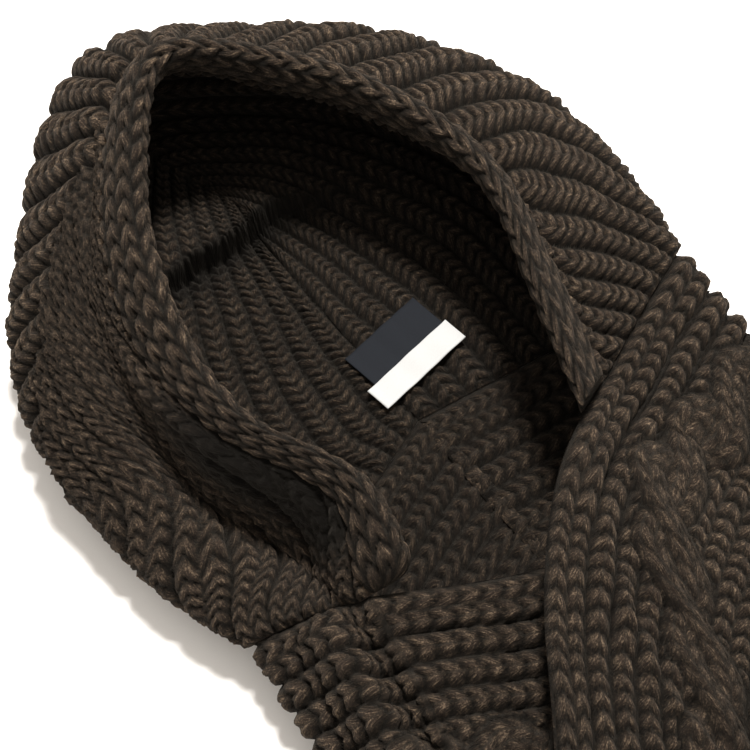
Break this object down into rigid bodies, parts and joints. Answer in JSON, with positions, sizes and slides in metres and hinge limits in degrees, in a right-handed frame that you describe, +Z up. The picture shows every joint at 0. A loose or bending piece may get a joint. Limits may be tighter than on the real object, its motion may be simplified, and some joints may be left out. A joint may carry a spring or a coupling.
{
  "type": "knit snood hood",
  "caption": "Ribbed knit hood joined to a snood, lying flat with the face opening up, a folded face band and labels inside.",
  "frame": {"origin": "on the surface that the piece lies on, under the middle of its bounding box", "axes": "+Z up, towards the face opening; +Y from the neck to the crown; +X towards the wearer's left"},
  "size_m": [0.3244, 0.574, 0.1112],
  "materials": {
    "hood_knit": "chunky marled rib knit",
    "band_knit": "chunky folded knit band",
    "snood_knit": "chunky rib and cable knit",
    "black_woven": "plain woven label",
    "white_woven": "plain woven label"
  },
  "bodies": {
    "root": {"hood_shell": "hood_knit", "face_band": "band_knit", "snood": "snood_knit", "main_label": "black_woven", "name_label": "white_woven"}
  },
  "joints": []
}
